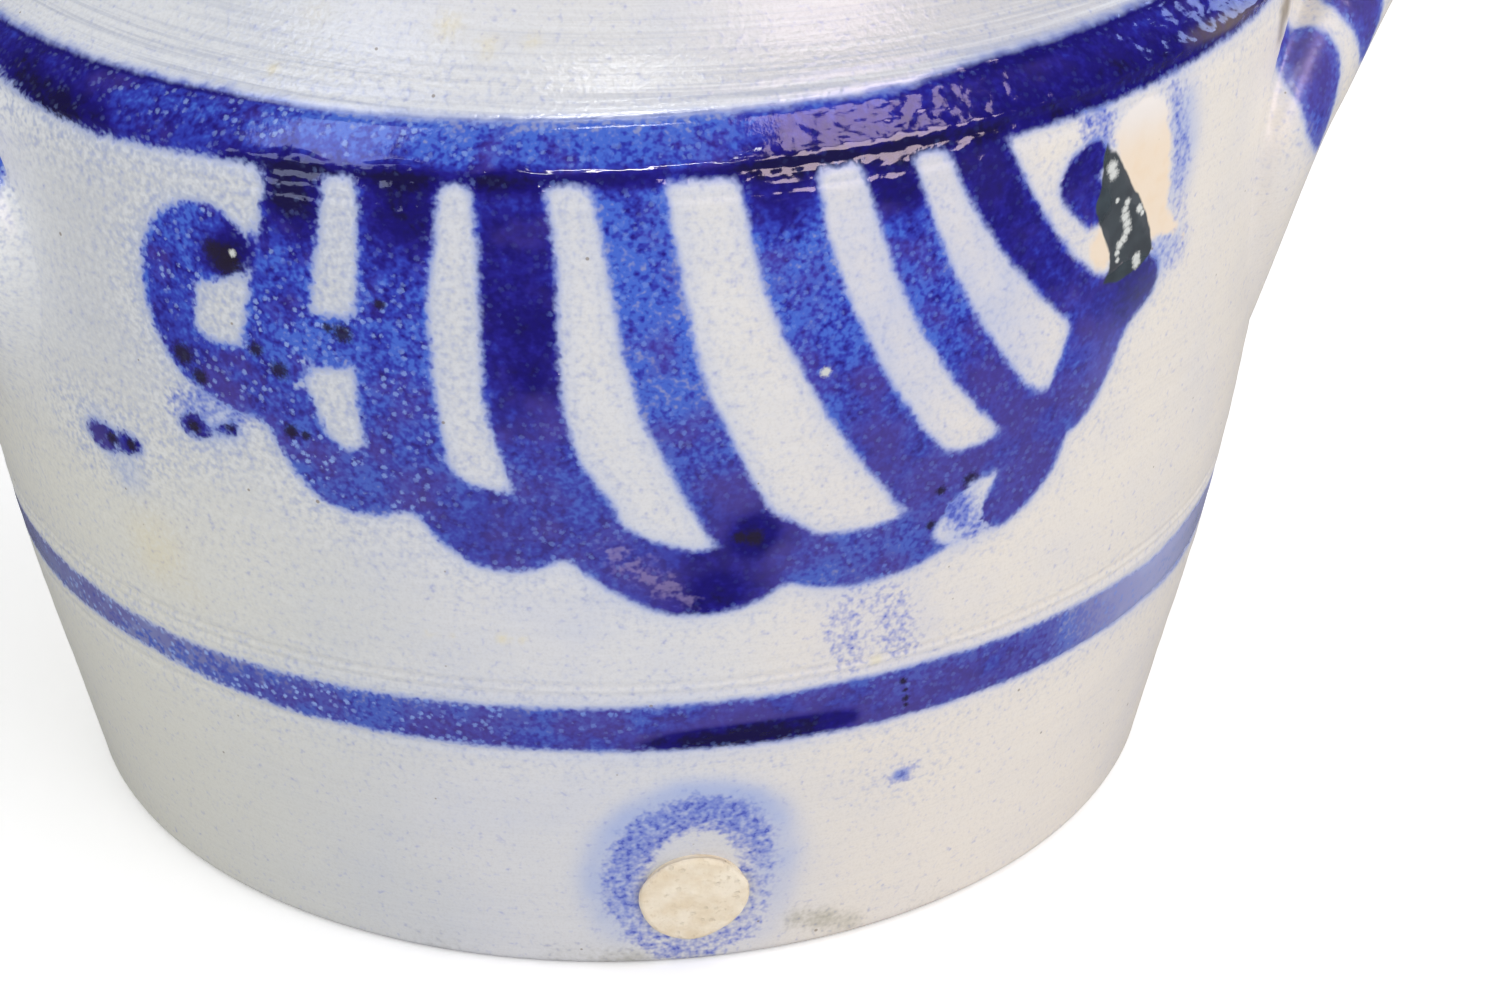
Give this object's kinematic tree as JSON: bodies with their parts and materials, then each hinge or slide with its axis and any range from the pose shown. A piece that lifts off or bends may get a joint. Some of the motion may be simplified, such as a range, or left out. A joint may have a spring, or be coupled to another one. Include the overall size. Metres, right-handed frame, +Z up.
{
  "type": "stoneware pot",
  "caption": "Wide-mouthed salt-glazed stoneware pot with ear handles, blue brushwork and bands, and a stopped tap hole near its foot.",
  "frame": {"origin": "middle of the base, on the surface that the pot stands on", "axes": "+X towards the right-hand handle, -Y towards the tap hole and the painted front, +Z up"},
  "size_m": [0.3868, 0.3022, 0.272],
  "materials": {
    "salt_glaze": "grey salt glaze with an orange-peel skin, painted with cobalt blue",
    "bare_clay": "matte cream clay with small pits"
  },
  "bodies": {
    "pot": {"pot_body": "salt_glaze", "handle_right": "salt_glaze", "handle_left": "salt_glaze"},
    "stopper": {"tap_stopper": "bare_clay"}
  },
  "joints": [
    {"name": "stopper_draw", "type": "slide", "parent": "pot", "child": "stopper", "axis": [0, -1, 0], "range_m": [0, 0.04]}
  ]
}
